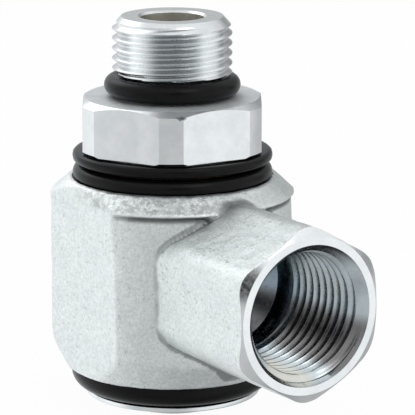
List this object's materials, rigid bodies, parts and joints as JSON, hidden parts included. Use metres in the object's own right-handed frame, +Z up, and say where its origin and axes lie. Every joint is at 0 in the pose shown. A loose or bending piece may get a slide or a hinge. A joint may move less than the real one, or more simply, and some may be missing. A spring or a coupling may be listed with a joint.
{
  "type": "hydraulic swivel joint",
  "caption": "Right-angle hydraulic swivel joint: a forged round housing with a hexagonal threaded side port turns on a hexagonal stem with a male threaded end.",
  "frame": {"origin": "centre of the stem's plain lower end face, on the swivel axis", "axes": "+Z up along the swivel axis towards the male threaded end, +X out of the side port"},
  "size_m": [0.0577, 0.034, 0.0632],
  "materials": {
    "forged_zinc": "satin zinc plate over a forged skin",
    "turned_zinc": "bright zinc plate over turned steel",
    "spring_steel": "plain dark spring steel",
    "bronze": "plain bearing bronze",
    "seal_rubber": "moulded black rubber, slightly glossy",
    "backup_plastic": "plain off-white plastic"
  },
  "bodies": {
    "stem_side": {"stem": "turned_zinc", "port_ring": "seal_rubber", "upper_dust_washer": "seal_rubber", "upper_thrust_washer": "bronze", "lower_thrust_washer": "bronze", "upper_pressure_seal": "seal_rubber", "upper_seal_backup_a": "backup_plastic", "upper_seal_backup_b": "backup_plastic", "lower_pressure_seal": "seal_rubber", "lower_seal_backup_a": "backup_plastic", "lower_seal_backup_b": "backup_plastic", "retaining_washer": "turned_zinc", "retaining_ring": "spring_steel"},
    "housing_side": {"housing": "forged_zinc", "upper_bush": "bronze", "lower_bush": "bronze", "upper_dust_seal": "seal_rubber", "lower_dust_seal": "seal_rubber"}
  },
  "joints": [
    {"name": "housing_swivel", "type": "hinge", "parent": "stem_side", "child": "housing_side", "pos_m": [0, 0, 0.0225], "axis": [0, 0, 1], "continuous": true}
  ]
}
